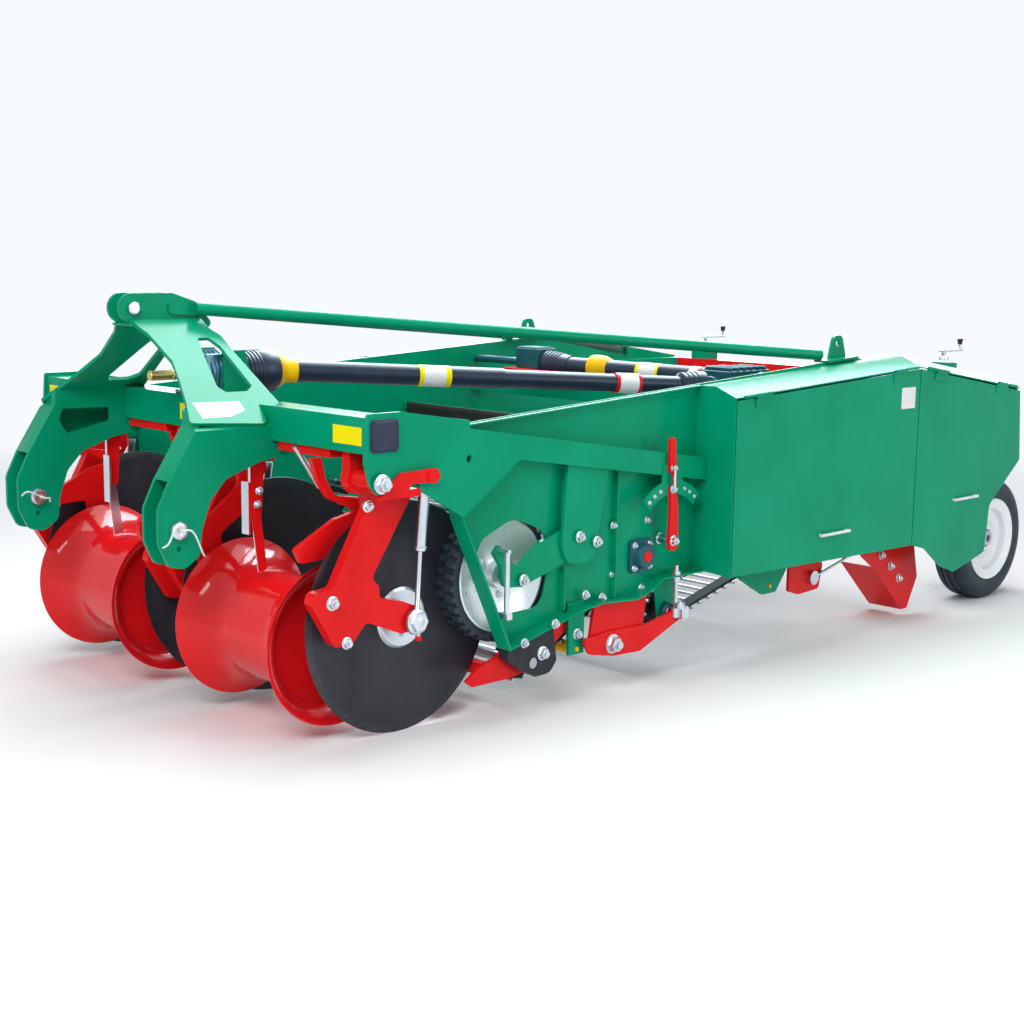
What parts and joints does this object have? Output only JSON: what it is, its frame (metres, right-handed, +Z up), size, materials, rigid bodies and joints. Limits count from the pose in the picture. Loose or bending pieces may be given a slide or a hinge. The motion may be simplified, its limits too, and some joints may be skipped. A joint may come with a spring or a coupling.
{
  "type": "potato harvester",
  "caption": "Mounted potato harvester with ridge rollers, disc coulters, share, two rod webs in series, hinged side guards and height-set rear wheels.",
  "frame": {"origin": "centre of the machine's box, on the ground", "axes": "+Z up, +Y towards the rear, +X towards the machine's left side"},
  "size_m": [2.196, 4.238, 1.366],
  "materials": {
    "green": "gloss",
    "red": "gloss",
    "steel": "satin",
    "dark_paint": "satin",
    "black_plastic": "matte",
    "rubber": "matte",
    "tyre": "matte",
    "white_paint": "gloss",
    "yellow_plastic": "satin",
    "disc_steel": "satin"
  },
  "bodies": {
    "frame": {"headstock": "green", "lower_hooks": "green", "hitch_pins": "steel", "front_beam": "green", "beam_caps": "black_plastic", "headstock_gearbox": "dark_paint", "pto_stub": "steel", "front_drive_shaft": "black_plastic", "cross_drive_shaft": "black_plastic", "angle_gearboxes": "dark_paint", "top_braces": "green", "side_beams": "green", "web_walls": "green", "guard_covers": "green", "digging_share": "red", "front_web": "steel", "rear_web": "steel", "web_rollers": "steel", "web_guides": "black_plastic", "web_support_rollers": "yellow_plastic", "flange_bearings": "dark_paint", "disc_arms": "red", "depth_struts": "steel", "roller_brackets": "red", "roller_scrapers": "red", "press_arms": "green", "shaker_arms": "red", "control_levers": "red", "cross_members": "green", "rubber_curtain": "rubber", "rear_frame": "red", "height_cranks": "steel", "crop_guides": "red"},
    "disc_outer_left": {"disc_outer_left": "disc_steel"},
    "disc_inner_left": {"disc_inner_left": "disc_steel"},
    "disc_outer_right": {"disc_outer_right": "disc_steel"},
    "disc_inner_right": {"disc_inner_right": "disc_steel"},
    "ridge_roller_left": {"ridge_roller_left": "red"},
    "ridge_roller_right": {"ridge_roller_right": "red"},
    "press_wheel_left": {"press_rim_left": "steel", "press_tyre_left": "tyre"},
    "rear_leg_left": {"rear_leg_left": "steel"},
    "rear_wheel_left": {"rear_rim_left": "white_paint", "rear_tyre_left": "tyre"},
    "front_door_left": {"front_door_left": "green"},
    "rear_door_left": {"rear_door_left": "green"},
    "press_wheel_right": {"press_rim_right": "steel", "press_tyre_right": "tyre"},
    "rear_leg_right": {"rear_leg_right": "steel"},
    "rear_wheel_right": {"rear_rim_right": "white_paint", "rear_tyre_right": "tyre"},
    "front_door_right": {"front_door_right": "green"},
    "rear_door_right": {"rear_door_right": "green"}
  },
  "joints": [
    {"name": "disc_outer_left_spin", "type": "hinge", "parent": "frame", "child": "disc_outer_left", "pos_m": [0.783, -1.441, 0.371], "axis": [1, 0, 0], "continuous": true},
    {"name": "disc_inner_left_spin", "type": "hinge", "parent": "frame", "child": "disc_inner_left", "pos_m": [0.117, -1.441, 0.371], "axis": [1, 0, 0], "continuous": true},
    {"name": "ridge_roller_left_spin", "type": "hinge", "parent": "frame", "child": "ridge_roller_left", "pos_m": [0.45, -1.63, 0.303], "axis": [1, 0, 0], "continuous": true},
    {"name": "press_wheel_left_spin", "type": "hinge", "parent": "frame", "child": "press_wheel_left", "pos_m": [0.843, -1.091, 0.474], "axis": [1, 0, 0], "continuous": true},
    {"name": "rear_leg_left_height", "type": "slide", "parent": "frame", "child": "rear_leg_left", "axis": [0, 0, 1], "range_m": [-0.08, 0.12]},
    {"name": "rear_wheel_left_spin", "type": "hinge", "parent": "rear_leg_left", "child": "rear_wheel_left", "pos_m": [0.94, 1.847, 0.272], "axis": [1, 0, 0], "continuous": true},
    {"name": "front_door_left_hinge", "type": "hinge", "parent": "frame", "child": "front_door_left", "pos_m": [1.089, -0.145, 1.016], "axis": [0, -0.9986, -0.0536], "range_deg": [0, 100]},
    {"name": "rear_door_left_hinge", "type": "hinge", "parent": "frame", "child": "rear_door_left", "pos_m": [1.089, 1.066, 1.081], "axis": [0, -0.9889, 0.1485], "range_deg": [0, 100]},
    {"name": "disc_outer_right_spin", "type": "hinge", "parent": "frame", "child": "disc_outer_right", "pos_m": [-0.783, -1.441, 0.371], "axis": [1, 0, 0], "continuous": true},
    {"name": "disc_inner_right_spin", "type": "hinge", "parent": "frame", "child": "disc_inner_right", "pos_m": [-0.117, -1.441, 0.371], "axis": [1, 0, 0], "continuous": true},
    {"name": "ridge_roller_right_spin", "type": "hinge", "parent": "frame", "child": "ridge_roller_right", "pos_m": [-0.45, -1.63, 0.303], "axis": [1, 0, 0], "continuous": true},
    {"name": "press_wheel_right_spin", "type": "hinge", "parent": "frame", "child": "press_wheel_right", "pos_m": [-0.843, -1.091, 0.474], "axis": [1, 0, 0], "continuous": true},
    {"name": "rear_leg_right_height", "type": "slide", "parent": "frame", "child": "rear_leg_right", "axis": [0, 0, 1], "range_m": [-0.08, 0.12]},
    {"name": "rear_wheel_right_spin", "type": "hinge", "parent": "rear_leg_right", "child": "rear_wheel_right", "pos_m": [-0.94, 1.847, 0.272], "axis": [1, 0, 0], "continuous": true},
    {"name": "front_door_right_hinge", "type": "hinge", "parent": "frame", "child": "front_door_right", "pos_m": [-1.089, -0.145, 1.016], "axis": [0, 0.9986, 0.0536], "range_deg": [0, 100]},
    {"name": "rear_door_right_hinge", "type": "hinge", "parent": "frame", "child": "rear_door_right", "pos_m": [-1.089, 1.066, 1.081], "axis": [0, 0.9889, -0.1485], "range_deg": [0, 100]}
  ]
}
